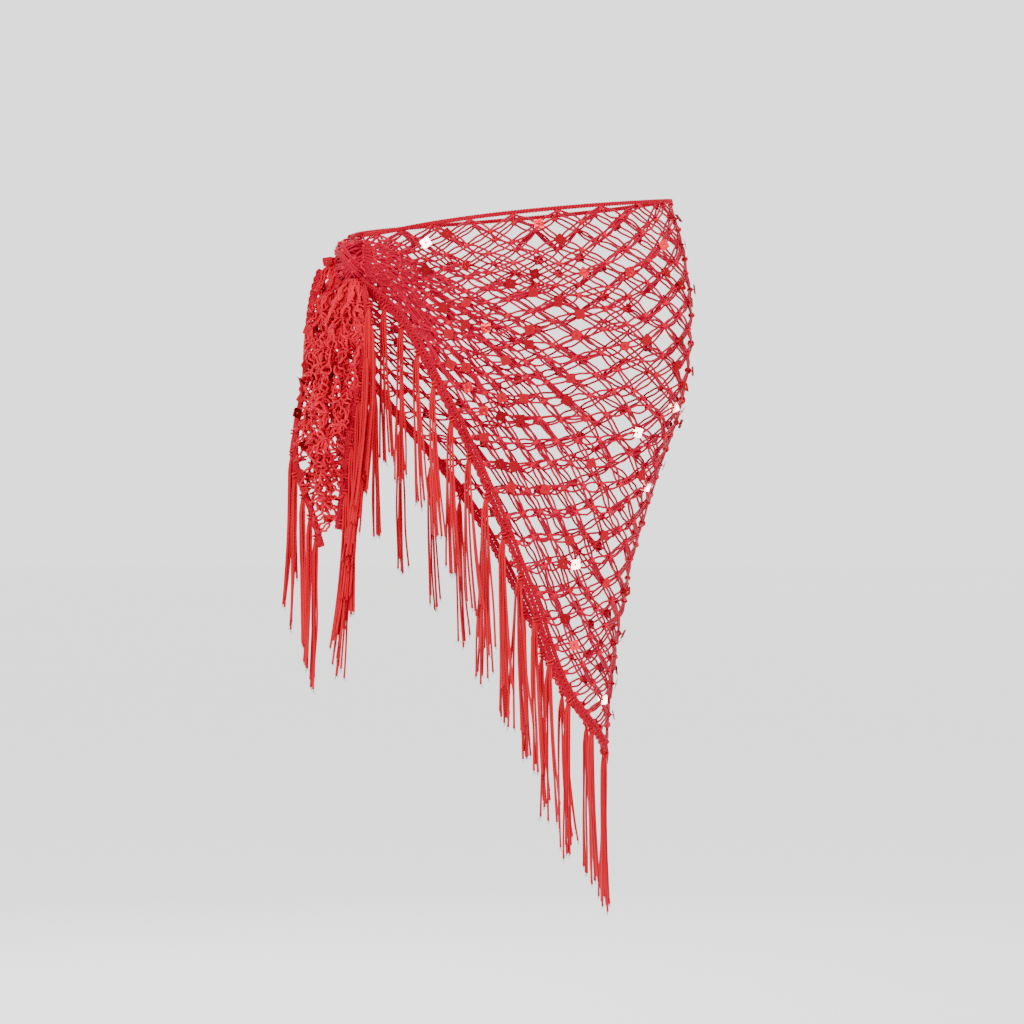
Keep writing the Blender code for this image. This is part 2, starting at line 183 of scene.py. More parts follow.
# Crochet stitches of that cord, pulled tight: many short turns, so light breaks up and it looks duller.
crochetLook = {**netLook, "pitch": 6, "roughness": 0.5, "plyDepth": 0.34, "sheen": 0.1,
               "dyesAndPaintedLight": [(0, "#750115"), (0.5, "#a80425"), (1, "#c30730")]}


def sequinMaterial(name, look):
    # Vacuum-metallised polyester film with a clear red lacquer: a sharp tinted mirror with a faint ripple.
    made, tree = startMaterial(name)
    ripple = noise(tree, look["ripple"], 1)
    island = addNode(tree, "NewGeometry")
    colour = addNode(tree, "ValToRGB", {"stops": look["films"]},
                     {0: island.outputs["Random Per Island"]})
    bump = addNode(tree, "Bump", {"Distance": look["rippleDepth"] * mm}, {"Height": ripple})
    rough, spread = look["roughness"], look["roughSpread"]
    rough = addNode(tree, "MapRange", {"To Min": rough - spread, "To Max": rough + spread}, {0: ripple})
    shader = addNode(tree, "BsdfPrincipled",
                     {"Metallic": 1, "Specular Tint": linear(look["edge"]), "Coat Weight": 0.1},
                     {"Base Color": colour.outputs[0], "Roughness": rough.outputs[0],
                      "Normal": bump.outputs[0]})
    addNode(tree, "OutputMaterial", links={0: shader.outputs[0]})
    return made


def floorMaterial():
    made, tree = startMaterial("mattPaintedFloor")  # matt white paint: no gloss, so no hard reflection
    grain = addNode(tree, "TexNoise", {"Scale": 3, "Detail": 2})
    tone = addNode(tree, "ValToRGB", {"stops": [(0.3, "#f7f6f5"), (0.7, studio["floorColour"])]},
                   {0: grain.outputs["Fac"]})
    paint = addNode(tree, "BsdfPrincipled", {"Roughness": 0.9}, {"Base Color": tone.outputs[0]})
    addNode(tree, "OutputMaterial", links={0: paint.outputs[0]})
    return made


def makeStudio():
    scene = bpy.context.scene
    lens = bpy.data.cameras.new("photoView")
    lens.lens, lens.sensor_width = studio["lens"], studio["sensor"]
    lens.clip_start, lens.clip_end = 0.1, 100
    camera = bpy.data.objects.new("photoView", lens)
    camera.location = [v * mm for v in studio["cameraFrom"]]
    camera.rotation_euler = (np.pi / 2, 0, 0)  # level, looking along +Y
    scene.collection.objects.link(camera)
    scene.camera = camera
    for name, (place, aim, size, watts) in studio["lights"].items():
        lamp = bpy.data.lights.new(name, "AREA")
        lamp.shape, lamp.size, lamp.energy = "DISK", size * mm, watts
        light = bpy.data.objects.new(name, lamp)
        light.location = [v * mm for v in place]
        toward = light.location.copy()
        toward.z -= aim * mm
        light.rotation_euler = toward.to_track_quat("Z", "Y").to_euler()
        scene.collection.objects.link(light)
    world = bpy.data.worlds.new("softSky")
    world.use_nodes = True
    sky = world.node_tree.nodes["Background"]
    sky.inputs["Color"].default_value = linear(studio["skyColour"])
    sky.inputs["Strength"].default_value = studio["sky"]
    scene.world = world
    half, level = studio["floorReach"] * mm, studio["floorHeight"] * mm
    mesh = bpy.data.meshes.new("studioFloor")
    corners = [(x * half, y * half, level) for x, y in ((-1, -1), (1, -1), (1, 1), (-1, 1))]
    mesh.from_pydata(corners, [], [(0, 1, 2, 3)])
    mesh.materials.append(floorMaterial())
    floor = bpy.data.objects.new("studioFloor", mesh)
    scene.collection.objects.link(floor)
    print("studio ready")


# The hip form that the cloth goes round and the line of its fringed border: the CAD's own tables.
# Angles go round from the front by the left side.
hipForm = {
    "height": [-600, -570, -500, -430, -350, -270, -200, -130, -60, 0, 20],
    "halfWidth": [86, 87, 91, 100, 115, 139.5, 163, 173, 167, 152, 146],
    "frontDepth": [84, 85, 87, 91, 96, 101, 106, 110, 109, 104, 100],
    "backDepth": [85, 86, 89, 94, 102, 112, 122, 124, 114, 101, 96],
}
borderLine = {
    "step": [0, 4, 8, 12, 16, 20, 24],
    "front": [92, 33, 6, -12.5, -26, -40, -60.2],
    "back": [92, 150, 181, 206, 234, 260, 285.1],
    "height": [-563, -493, -392, -292, -201, -127, -86],
}
netColumns = {  # where columns of the net meet the waist edge and the border; the last goes into the knot
    "front": {"column": [0, 4, 8, 12, 16, 19, 21], "waist": [113, 69, 31, -1.5, -31, -49, -60.2],
              "step": [0, 4, 8, 12, 16.6, 21, 24]},
    "back": {"column": [0, 4, 8, 12, 16, 20, 23], "waist": [113, 149, 181, 211, 242, 268, 285.1],
             "step": [0, 4, 8, 12.2, 16.4, 20.6, 24]},
}
worn = {  # how the cloth lies on the form
    "middleAngle": 113, "waistDrop": 45, "waistDropPower": 1.5, "columnBend": 1.7,
    "folds": {"front": 5, "back": 4}, "foldSharpness": 0.0063, "foldMost": 5, "foldPeakSteps": 7,
    "foldReachSteps": 6, "foldUneven": 0.4, "foldUnevenTurn": 9, "foldHemFlatness": 6,
    "knotAngle": -67, "knotHeight": -62, "knotOut": 10, "liftMost": 11, "liftReach": 14, "knotStep": 24,
}
netCut = {  # the net laid flat, counted in half cells; column 0 runs down the middle to the hanging corner
    "halfWidth": 20, "halfHeight": 14, "lastColumn": 40, "knotColumn": {"front": 21, "back": 23},
}
border = {"width": 9.5, "thick": 3, "gap": 0.8}


def turnFrom(angle, other):  # the shorter way round
    return (angle - other + 180) % 360 - 180


def formSize(name, z):
    return smooth(hipForm, "height", name, z)


def formDepth(z, ahead):
    return np.where(ahead, formSize("frontDepth", z), formSize("backDepth", z))


def formPoint(angle, z):
    turn = np.radians(angle)
    depth = formDepth(z, np.cos(turn) > 0)
    x = formSize("halfWidth", z) * np.sin(turn)
    return np.stack(np.broadcast_arrays(x, -depth * np.cos(turn), z), -1)


def formNormal(angle, z):
    roundIt = formPoint(angle + 1, z) - formPoint(angle - 1, z)
    return unit(np.cross(roundIt, formPoint(angle, z + 1) - formPoint(angle, z - 1)))


def knotLift(angle):  # how far the cloth leaves the hips on its way into the knot
    off = turnFrom(angle, worn["knotAngle"])
    return worn["liftMost"] * np.exp(-((off / worn["liftReach"]) ** 2))


def clothPoint(angle, z, out=0):
    return formPoint(angle, z) + times(out + knotLift(angle), formNormal(angle, z))


def waistHeight(angle):
    off = np.abs(turnFrom(angle, worn["middleAngle"]))
    return -worn["waistDrop"] * (off / (worn["middleAngle"] - worn["knotAngle"])) ** worn["waistDropPower"]


def borderFrame(side, step):  # the border's outer line: point, cloth normal and the way out of the cloth
    def place(at):
        return smooth(borderLine, "step", side, at), smooth(borderLine, "step", "height", at)

    low, high = np.maximum(step - 0.1, 0), np.minimum(step + 0.1, worn["knotStep"])
    along = unit(clothPoint(*place(high)) - clothPoint(*place(low)))
    normal = formNormal(*place(step))
    outward = unit(np.cross(along, normal))
    outward = np.where(outward[..., 2:] > 0, -outward, outward)
    mitre = unit(times(normal[..., 2], normal) - up)  # both borders meet on the upright at the corner
    mitre = mitre / (mitre * outward).sum(-1, keepdims=True)
    return clothPoint(*place(step)), normal, np.where(np.asarray(step)[..., None] == 0, mitre, outward)


def wallEdge(side, step):  # angle and height of the net's lower edge, just inside the border
    point, normal, outward = borderFrame(side, step)
    edge = smooth(borderLine, "step", side, step)
    inner = point - times(knotLift(edge), normal) - outward * (border["width"] + border["gap"])
    x, y, z = np.moveaxis(inner, -1, 0)
    angle = np.degrees(np.arctan2(x / formSize("halfWidth", z), -y / formDepth(z, y < 0)))
    return edge + turnFrom(angle, edge), z


fineSteps = np.linspace(0, worn["knotStep"], 241)
wallEdges = {side: wallEdge(side, fineSteps) for side in ("front", "back")}


def columnEnds(side, column):  # its step along the border, and where it starts and ends: angles and heights
    step, waist = (smooth(netColumns[side], "column", name, column) for name in ("step", "waist"))
    lower, lowerZ = (np.interp(step, fineSteps, values) for values in wallEdges[side])
    return step, waist, lower, waistHeight(waist), lowerZ


def foldHeight(side, step, depth, length):  # how far the folds that run out of the knot lift the cloth
    count = worn["folds"][side]
    far = np.maximum(worn["knotStep"] - step - worn["foldPeakSteps"], 0)
    fade = np.exp(-((far / worn["foldReachSteps"]) ** 2))
    most = np.minimum(worn["foldSharpness"] * (length / count) ** 2, worn["foldMost"]) * fade
    uneven = 1 - worn["foldUneven"] * (1 + np.sin(worn["foldUnevenTurn"] * depth)) / 2
    flatHem = 1 - depth ** worn["foldHemFlatness"]
    return most * uneven * flatHem * (1 - np.cos(2 * np.pi * count * depth)) / 2


def netPoint(side, column, depth):  # a point of the worn net from waist edge (0) to border (1)
    column, depth = np.clip(column, 0, netCut["knotColumn"][side]), np.clip(depth, 0, 1)
    step, waist, lower, topZ, lowerZ = columnEnds(side, column)
    z = topZ + (lowerZ - topZ) * depth
    angle = waist + (lower - waist) * depth ** worn["columnBend"]
    lift = foldHeight(side, step, depth, topZ - lowerZ)
    return clothPoint(angle, z, lift), formNormal(angle, z)


def rings(count, wide, deep):  # points of a ring at each place, from its two half axes
    turn = np.arange(count) * 2 * np.pi / count
    return wide[..., None, :] * np.cos(turn)[:, None] + deep[..., None, :] * np.sin(turn)[:, None]


def tubes(paths, radius, facing, sides=6, closed=False, finish=0):  # a round cord along every path
    count, points = paths.shape[:2]
    if closed:
        along = unit(np.roll(paths, -1, 1) - np.roll(paths, 1, 1))
    else:
        along = unit(np.gradient(paths, axis=1))
    side = unit(np.cross(along, facing))
    ring = rings(sides, side, np.cross(side, along))
    verts = paths[:, :, None] + ring * np.broadcast_to(radius, (count, points))[:, :, None, None]
    spans = points if closed else points - 1
    i, j = np.meshgrid(np.arange(spans), np.arange(sides), indexing="ij")
    nextI, nextJ = (i + 1) % points, (j + 1) % sides
    quad = np.stack([i * sides + j, nextI * sides + j, nextI * sides + nextJ, i * sides + nextJ], -1)
    first = (np.arange(count) * points * sides)[:, None, None]
    faces = [(quad.reshape(1, -1, 4) + first).reshape(-1, 4)]
    gone = np.linalg.norm(np.diff(paths, axis=1, append=paths[:, :1]), axis=2)
    length = np.concatenate([np.zeros((count, 1)), np.cumsum(gone, axis=1)], axis=1)
    corners = [np.broadcast_arrays((j + aside) / sides, length[:, i + ahead])
               for aside, ahead in ((0, 0), (0, 1), (1, 1), (1, 0))]
    uvs = [np.moveaxis(np.array(corners), (0, 1), (-2, -1)).reshape(-1, 4, 2)]
    if not closed:
        start = np.arange(sides)
        caps = np.stack([start, (points - 1) * sides + start[::-1]])
        faces.append((caps[None] + first).reshape(-1, sides))
        uvs.append(np.zeros((2 * count, sides, 2)))
    return verts.reshape(-1, 3), faces, uvs, finish


def stamp(shape, places, sideways, lengthways, outwards):  # copies of a small shape, each turned its own way
    verts, faces, uvs, finish = shape
    axes = (sideways, lengthways, outwards)
    turned = sum(verts[None, :, k, None] * axis[:, None] for k, axis in enumerate(axes))
    first = (np.arange(len(places)) * len(verts))[:, None, None]
    copies = [(face[None] + first).reshape(-1, face.shape[1]) for face in faces]
    uvs = [np.tile(uv, (len(places), 1, 1)) for uv in uvs]
    return (turned + places[:, None]).reshape(-1, 3), copies, uvs, finish


triangles = {}  # of each piece made


def makePiece(name, parts, finishes, cadNodes):  # of parts with verts, faces, uvs and a finish's number
    verts = np.concatenate([part[0] for part in parts]) * mm
    starts = np.cumsum([0] + [len(part[0]) for part in parts])
    faces = [face + start for part, start in zip(parts, starts) for face in part[1]]
    uvs = [uv for part in parts for uv in part[2]]
    loops = np.concatenate([face.ravel() for face in faces]).astype(np.int32)
    sizes = np.concatenate([np.full(len(face), face.shape[1]) for face in faces])
    kinds = np.concatenate([np.full(len(face), part[3]) for part in parts for face in part[1]])
    mesh = bpy.data.meshes.new(name)
    mesh.vertices.add(len(verts))
    mesh.vertices.foreach_set("co", verts.astype(np.float32).ravel())
    mesh.loops.add(len(loops))
    mesh.loops.foreach_set("vertex_index", loops)
    mesh.polygons.add(len(sizes))
    mesh.polygons.foreach_set("loop_start", (np.cumsum(sizes) - sizes).astype(np.int32))
    mesh.update(calc_edges=True)
    mesh.shade_smooth()
    for finish in finishes:
        mesh.materials.append(materials[finish])
    mesh.polygons.foreach_set("material_index", kinds.astype(np.int32))
    layer = mesh.uv_layers.new(name="cord")
    layer.data.foreach_set("uv", np.concatenate([uv.reshape(-1) for uv in uvs]).astype(np.float32))
    mesh.validate()
    piece = bpy.data.objects.new(name, mesh)
    bpy.context.scene.collection.objects.link(piece)
    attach(piece, "root")
    if cadNodes:
        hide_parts(*cadNodes)
    triangles[name] = int((sizes - 2).sum())
    print("made", name, triangles[name], "triangles")
    return piece


net = {
    "cord": 2.3, "points": 8,
    "cellSide": 24.4,  # flat length of a cell's side, from half cell 20 by 14
    "steepBow": 1.1, "levelBow": 2.7,  # how far the two cords of a side stand from its middle line
    "endSpread": 0.7, "lens": 0.8, "uneven": 0.3, "riseUneven": 0.3,
    "thirdShare": 0.12,  # sides that also show the third, shorter cord of the drawn-up loop
    "slackMost": 4.2, "slackBow": 0.25, "slackOut": 0.4, "slackEither": 0.15, "slackDown": 0.35,
    "knotOff": 0.8,  # how far a knot strays off the smooth surface
    "columnShift": 0.05, "depthShift": 0.004,
    "least": 0.36, "crowdedAt": 0.4, "crowdedAtKnot": 0.3,
    "knotSize": 3.2, "knotCord": 2.1, "knotPoints": 7, "knotTilt": 0.35, "knotSpin": 0.25, "knotUneven": 0.2,
    "pulledFrom": 9,  # from this column to the knot the cords are ever straighter and the knots tighter
    "pulledBow": 0.35, "pulledKnot": 0.55, "pulledPower": 0.6,
    "kink": 0.35, "kinks": 1.5,  # small waves along a cord
}


def columnRows(side, column):  # rows crowd together part way down where the net is drawn into the knot
    *_, topZ, lowerZ = columnEnds(side, column)
    ratio = (topZ - lowerZ) / (netCut["halfHeight"] * (netCut["lastColumn"] - column))
    least = max(net["least"], (ratio - 1 / 3) / (2 / 3))  # so that the mean spacing is the ratio
    near = column / netCut["knotColumn"][side]
    share = np.linspace(0, 1, 201)
    crowd = net["crowdedAt"] + (net["crowdedAtKnot"] - net["crowdedAt"]) * near**2
    opened = np.where(share < crowd, (crowd - share) / crowd, (share - crowd) / (1 - crowd)) ** 2
    weight = least + (1 - least) * opened
    total = np.concatenate([[0], np.cumsum((weight[1:] + weight[:-1]) / 2)])
    return share, total / total[-1]


def netLattice(first, last, depthOf):  # knots of the net and the sides between them
    reach = netCut["lastColumn"]
    knots = [(a, b) for a in range(first, last + 1) for b in range(a % 2, reach - a + 1, 2)]
    number = {knot: i for i, knot in enumerate(knots)}
    sides = []
    for a, b in knots:
        if (a + 1, b + 1) in number:
            sides.append((number[a, b], number[a + 1, b + 1]))
        if (a + 1, b - 1) in number and b < reach - a:
            sides.append((number[a, b], number[a + 1, b - 1]))
    place = np.array([(a, depthOf(a, b)) for a, b in knots], float)
    inside = np.array([0 < b < reach - a and first < a < last for a, b in knots])
    return np.array(knots), np.array(sides), place, inside


def drawnLoops(surface, place, stray, sides, look, pull):  # each side's cords, bowed between its two knots
    t = np.linspace(0, 1, look["points"])

    def between(values):  # evenly from each side's first knot to its second
        first, second = (values[sides[:, k]][:, None] for k in (0, 1))
        return first * (1 - t[:, None]) + second * t[:, None]

    points, normals = surface(*np.moveaxis(between(place), -1, 0))
    points = points + between(stray)
    chord = points[:, -1] - points[:, 0]
    span = np.linalg.norm(chord, axis=1)
    steep = (np.abs(chord[:, 2]) / np.maximum(span, 1))[:, None]
    # The rise of an arc that is longer than its span.
    slack = np.sqrt(3 / 8 * span * np.maximum(look["cellSide"] - span, 0))
    slack = np.minimum(slack, look["slackMost"])[:, None]
    across = unit(np.cross(normals, unit(chord)[:, None]))
    lens = np.sin(np.pi * t) ** look["lens"]
    bow = look["levelBow"] + (look["steepBow"] - look["levelBow"]) * steep
    bow = bow * (1 + (look["pulledBow"] - 1) * pull[sides[:, 0]][:, None])
    paths, facing = [], []
    for way in (1, -1, 0):
        luck = rng.random((5, len(sides), 1))
        keep = (luck[0, :, 0] < look["thirdShare"]) | (way != 0)
        uneven = 1 + look["uneven"] * (2 * luck - 1)
        bowed = bow * uneven[1] + look["slackBow"] * luck[2] * slack
        waves = t * look["kinks"] * uneven[3] + luck[1]
        wide = way * (look["endSpread"] + bowed * lens)
        wide = wide + look["kink"] * np.sin(2 * np.pi * waves) * lens
        loose = look["slackOut"] * luck[3] + look["slackEither"] * (2 * luck[4] - 1)
        out = look["cord"] / 2 + (loose * slack + look["riseUneven"] * (2 * luck[2] - 1)) * lens
        down = look["slackDown"] * luck[1] * slack * lens
        path = points + times(wide, across) + times(out, normals) - times(down, up)
        paths.append(path[keep])
        facing.append(normals[keep])
    return np.concatenate(paths), np.concatenate(facing)


# The three short turns of cord of each knot: the way each lies, its width and its depth.
knotTurns = [(0.45, 1, 0.75), (-0.5, 1, 0.8), (1.5, 0.8, 0.6)]


def tiedKnots(points, normals, look, pull):
    parts = []
    first = unit(np.cross(normals, up) + look["knotTilt"] * rng.normal(size=points.shape))
    first = unit(first - times((first * normals).sum(-1), normals))
    second = np.cross(normals, first)
    for angle, wide, deep in knotTurns:
        spin = angle + look["knotSpin"] * rng.normal(size=(len(points), 1))
        flat = np.cos(spin) * first + np.sin(spin) * second
        tight = 1 + (look["pulledKnot"] - 1) * pull[:, None, None]
        uneven = 1 + look["knotUneven"] * (2 * rng.random((len(points), 1, 1)) - 1)
        size = look["knotSize"] * tight * uneven
        ring = size * rings(look["knotPoints"], wide * flat, deep * normals)
        paths = points[:, None] + look["cord"] / 2 * normals[:, None] + ring
        axis = np.cross(flat, normals)
        parts.append(tubes(paths, look["knotCord"] / 2, axis[:, None], sides=5, closed=True, finish=1))
    return parts


def makeNet(side):
    last = netCut["knotColumn"][side]
    rows = {a: columnRows(side, a) for a in range(last + 1)}
    knots, sides, place, inside = netLattice(
        0, last, lambda a, b: np.interp(b / (netCut["lastColumn"] - a), *rows[a]))
    shift = rng.normal(size=place.shape) * np.array([net["columnShift"], net["depthShift"]])
    place = place + shift * inside[:, None]
    surface = partial(netPoint, side)
    stray = times(net["knotOff"] * inside * rng.random(len(place)), surface(*place.T)[1])
    pull = np.clip((knots[:, 0] - net["pulledFrom"]) / (last - net["pulledFrom"]), 0, 1)
    pull = pull ** net["pulledPower"]
    paths, facing = drawnLoops(surface, place, stray, sides, net, pull)
    shown = (knots[:, 0] > 0) | (side == "front")  # the knots of the middle column are tied once
    points, normals = surface(*place[shown].T)
    points = points + stray[shown]
    parts = [tubes(paths, net["cord"] / 2, facing, sides=5)] + tiedKnots(points, normals, net, pull[shown])
    piece = makePiece(side + "_net", parts, ["net", "netKnots"], ["net_" + side])
    return piece, points + net["cord"] * normals, normals, knots[shown]


def evenly(line, normals, spacing):  # the same line with points at an even spacing, and the way aside
    gone = np.concatenate([[0], np.cumsum(np.linalg.norm(np.diff(line, axis=0), axis=1))])
    at = np.linspace(0, gone[-1], max(int(round(gone[-1] / spacing)), 2) + 1)
    spaced = np.stack([np.interp(at, gone, line[:, k]) for k in range(3)], -1)
    turned = unit(np.stack([np.interp(at, gone, normals[:, k]) for k in range(3)], -1))
    return at, spaced, turned, np.cross(turned, unit(np.gradient(spaced, axis=0)))


plait = {"cords": 3, "depth": 0.42, "points": 10}


def braid(line, normals, width, cord, pitch, phase=0):  # a crochet chain, drawn as three plaited cords
    at, line, normals, side = evenly(line, normals, pitch / plait["points"])
    paths = []
    for k in range(plait["cords"]):
        turn = 2 * np.pi * (at / pitch + k / plait["cords"]) + phase
        paths.append(line + times((width - cord) / 2 * np.sin(turn), side)
                     + times(plait["depth"] * cord * np.sin(2 * turn), normals))
    return tubes(np.stack(paths), cord / 2, normals[None], sides=5)


waistChain = {"width": 4.8, "cord": 2.1, "pitch": 9, "rise": 2.3, "out": 2.3}


def makeWaistChain():
    first, last = (netColumns[side]["waist"][-1] for side in ("front", "back"))
    angle = np.linspace(first, last, 500)
    z = waistHeight(angle) + waistChain["rise"] + border["gap"]
    line = clothPoint(angle, z, waistChain["out"])
    sizes = (waistChain[key] for key in ("width", "cord", "pitch"))
    parts = [braid(line, formNormal(angle, z), *sizes)]
    return makePiece("waist_chain", parts, ["crochet"], ["waist_edge"])


lace = {
    "cord": 2.1, "chain": 4.9, "pitch": 8.5, "secondPhase": 2,
    "post": 4.2, "postPoints": 4, "postShort": 1, "postOut": 0.9, "postWave": 0.5,
    "picot": 7.3, "picotPoints": 6, "picotOut": 1.7, "picotIn": 0.8, "picotWave": 0.5,
}


def borderLace(point, normal, outward, width):  # two crochet chains side by side, joined by posts
    middle = point + normal * border["thick"] / 2
    parts = []
    for inset, phase in ((lace["chain"] / 2, 0), (width - lace["chain"] / 2, lace["secondPhase"])):
        line = middle - outward * inset
        parts.append(braid(line, normal, lace["chain"], lace["cord"], lace["pitch"], phase))
    at, line, normals, side = evenly(middle - outward * width / 2, normal, lace["post"] / lace["postPoints"])
    sway = (width / 2 - lace["postShort"]) * np.sin(np.pi * at / lace["post"])
    rise = lace["postOut"] + lace["postWave"] * np.cos(2 * np.pi * at / lace["post"])
    post = line + times(sway, side) + times(rise, normals)
    parts.append(tubes(post[None], lace["cord"] / 2, normals[None], sides=5))
    at, line, normals, side = evenly(middle, normal, lace["picot"] / lace["picotPoints"])
    side = side * np.sign((side * outward[0]).sum(-1, keepdims=True))
    swell = lace["picotOut"] * np.abs(np.sin(np.pi * at / lace["picot"])) - lace["picotIn"]
    rise = lace["picotWave"] * np.cos(2 * np.pi * at / lace["picot"])
    edge = line + times(swell, side) + times(rise, normals)
    parts.append(tubes(edge[None], lace["cord"] / 2, normals[None], sides=5))
    return parts


fringe = {
    "cord": 2.2, "points": 26, "length": 140, "uneven": 7, "stray": 2,
    "headOut": 2, "headDown": 7, "headSpacing": 2.1, "startSpread": 4.5,
    "gatheredAt": 0.07, "gatherPower": 0.7,  # the share of its length where a cord reaches the head
    "fanRange": (0.45, 1.35), "tipStray": 0.4, "tipOut": 0.5, "fallPower": 1.15,
    "sway": 3, "swayPower": 1.6, "wave": 1.3, "wavePower": 0.7,
    "cutEnd": 1.15, "hairs": 3, "hair": 0.35, "hairLength": 3, "hairDown": 2.2,
}


def hangingCords(point, normal, outward, along, look):  # tassels: cords gathered at the border
    count, cords = len(point), look["cords"]
    stagger = look["stagger"] * (np.arange(count) % 3 - 1)
    flatOut = unit(normal * np.array([1, 1, 0]))
    sideways = np.cross(up, flatOut)
    start = point + normal * border["thick"] / 2
    head = start + outward * fringe["headOut"] - up * fringe["headDown"] + times(stagger, flatOut)
    # The tips are uneven: in long waves along the row, and a little at random.
    number = np.arange(count)[:, None] * 4 + np.arange(cords)
    length = fringe["length"] + fringe["uneven"] * np.sin(2.4 * number) * np.cos(0.9 * number)
    length = length + fringe["stray"] * rng.normal(size=length.shape)
    k = np.arange(cords)
    t = np.linspace(0, 1, fringe["points"])
    gather = np.clip(t / fringe["gatheredAt"], 0, 1) ** fringe["gatherPower"]
    # At the head the cords lie in two rows, and lower down side by side.
    middle = (cords - 1) / 2
    headSide, headOut = (fringe["headSpacing"] * row for row in (k // 2 - middle / 2, k % 2 - 0.5))
    opened = look["fan"] * rng.uniform(*fringe["fanRange"], (count, 1))
    tipSide = (k - middle + fringe["tipStray"] * rng.normal(size=(count, cords))) * opened
    tipOut = fringe["tipOut"] * look["fan"] * rng.normal(size=(count, cords))
    fall = t ** fringe["fallPower"]
    luck = rng.random((6, count, cords, 1))
    swing = fringe["sway"] * rng.normal(size=(2, count, 1, 1)) * t ** fringe["swayPower"]

    def waved(amount, turns, phase):  # one to two slow waves down a cord
        wave = np.sin(np.pi * (t * (1.5 + 2 * turns) + phase))
        return fringe["wave"] * amount * wave * t ** fringe["wavePower"]

    startAlong = (k / (cords - 1) - 0.5) * fringe["startSpread"]
    top = start[:, None] + startAlong[:, None] * along[:, None]
    path = top[:, :, None] * (1 - gather)[:, None] + head[:, None, None] * gather[:, None]
    path = path - times(t * length[..., None] * gather, up)
    aside = gather * (headSide[:, None] * (1 - fall) + tipSide[..., None] * fall) + swing[0]
    forward = gather * (headOut[:, None] * (1 - fall) + tipOut[..., None] * fall) + swing[1]
    aside = aside + waved(luck[1] - 0.3, luck[2], luck[3])
    forward = forward + waved(luck[4] - 0.5, luck[5], luck[2])
    path = path + times(aside, sideways[:, None, None]) + times(forward, flatOut[:, None, None])
    path[..., 0] += look["lean"] * t**2
    path = path.reshape(count * cords, len(t), 3)
    facing = np.repeat(flatOut, cords, 0)[:, None]
    radius = np.full(len(t), fringe["cord"] / 2)
    radius[-1] *= fringe["cutEnd"]  # the cut end opens a little
    parts = [tubes(path, radius, facing)]
    # Loose fibres at each cut end.
    s = np.linspace(0, 1, 3)
    for _ in range(fringe["hairs"]):
        way = unit(rng.normal(size=(len(path), 3)) * np.array([1, 1, 0.4]) - up * fringe["hairDown"])
        long = fringe["hairLength"] * (1 + rng.random((len(path), 1)))
        hair = path[:, -1:] + times(s * long, way[:, None])
        parts.append(tubes(hair, fringe["hair"] / 2 * (1.4 - s), facing, sides=3))
    return parts


binding = {"points": 8, "apart": 3.2, "out": 0.4, "reach": 3.1, "depth": 2.5}


def tasselBinding(point, normal, outward, along):  # the loops that hold each tassel to the border
    ring = rings(binding["points"], binding["reach"] * outward, binding["depth"] * normal)
    parts = []
    for way in (-1, 1):
        centre = point + normal * border["thick"] / 2 + outward * binding["out"]
        centre = centre + way * binding["apart"] / 2 * along
        parts.append(tubes(centre[:, None] + ring, fringe["cord"] / 2, along[:, None], sides=5, closed=True))
    return parts


def makeEdging(name, cadNode, line, width, roots, look):  # the lace of a fringed edge, then its tassels
    parts = borderLace(*line[:3], width)
    lacing = makePiece(name + "_border", parts, ["crochet"], [cadNode])
    parts = hangingCords(*roots, look) + tasselBinding(*roots)
    return lacing, makePiece(name + "_fringe", parts, ["fringe"], [cadNode])


def middles(count):  # of so many even parts of a line
    return (np.arange(count) + 0.5) / count


# Each edge's tassels: how many, cords in each, how far apart the cords are at the tips, how far the tips
# hang to the wearer's left, and how far the tassels stand out of line by turns.
wrapTassels = {"count": 15, "cords": 6, "fan": 3.1, "lean": 3, "stagger": 0}


def makeWrapEdge(side):
    dense = np.linspace(worn["knotStep"], 0.02, 500)
    step = worn["knotStep"] * (1 - middles(wrapTassels["count"]))
    along = unit(borderFrame(side, step - 0.2)[0] - borderFrame(side, step + 0.2)[0])
    return makeEdging(side, "border_fringe_" + side, borderFrame(side, dense), border["width"],
                      (*borderFrame(side, step), along), wrapTassels)


# The two tied ends, from the tip up: height, where the fringed and the plain edge hang, and how far the
# folds swing. They are the CAD's tables, but for the back tail's top, which is fuller behind the knot.
tails = {
    "front": {
        "height": [-325, -280, -230, -180, -130, -98, -82.4],
        "fringedX": [-179, -173, -166, -157, -149, -151, -158],
        "fringedY": [-54, -63, -74, -82, -86, -78, -62],
        "plainX": [-190, -196, -200, -197, -189, -176, -170],
        "plainY": [-50, -58, -66, -66, -65, -62, -54],
        "fold": [0.3, 2, 4, 4.5, 3, 1.2, 0.2],
    },
    "back": {
        "height": [-342, -305, -260, -220, -180, -140, -105, -80, -60],
        "fringedX": [-191, -202, -217, -216, -210, -207, -202, -195, -185],
        "fringedY": [-34, -29, -23, -17, -12, -13, -20, -28, -34],
        "plainX": [-182, -183, -184, -184, -183, -179, -172, -166, -164],
        "plainY": [-41, -43, -45, -45, -43, -40, -37, -37, -38],
        "fold": [0.2, 1.2, 4, 4.5, 4.5, 3.2, 2, 1, 0.3],
    },
}
tail = {
    **net, "waves": 3, "endFlatness": 6, "borderWidth": 5.5, "borderStart": 0.04, "crowdedTip": 0.82,
    "points": 12, "slackMost": 7, "slackOut": 0.2, "slackEither": 1, "slackDown": 0.25,
    "slackBow": 0.6, "thirdShare": 1, "kink": 1.5, "kinks": 2.2,
    "crumple": 3.4, "crumpleUp": 0.6, "crumpleEdge": 0.3, "laceOver": 1.5,
    "fallShift": 0.008, "shareShift": 0.05,  # how unevenly its knots are spaced
}
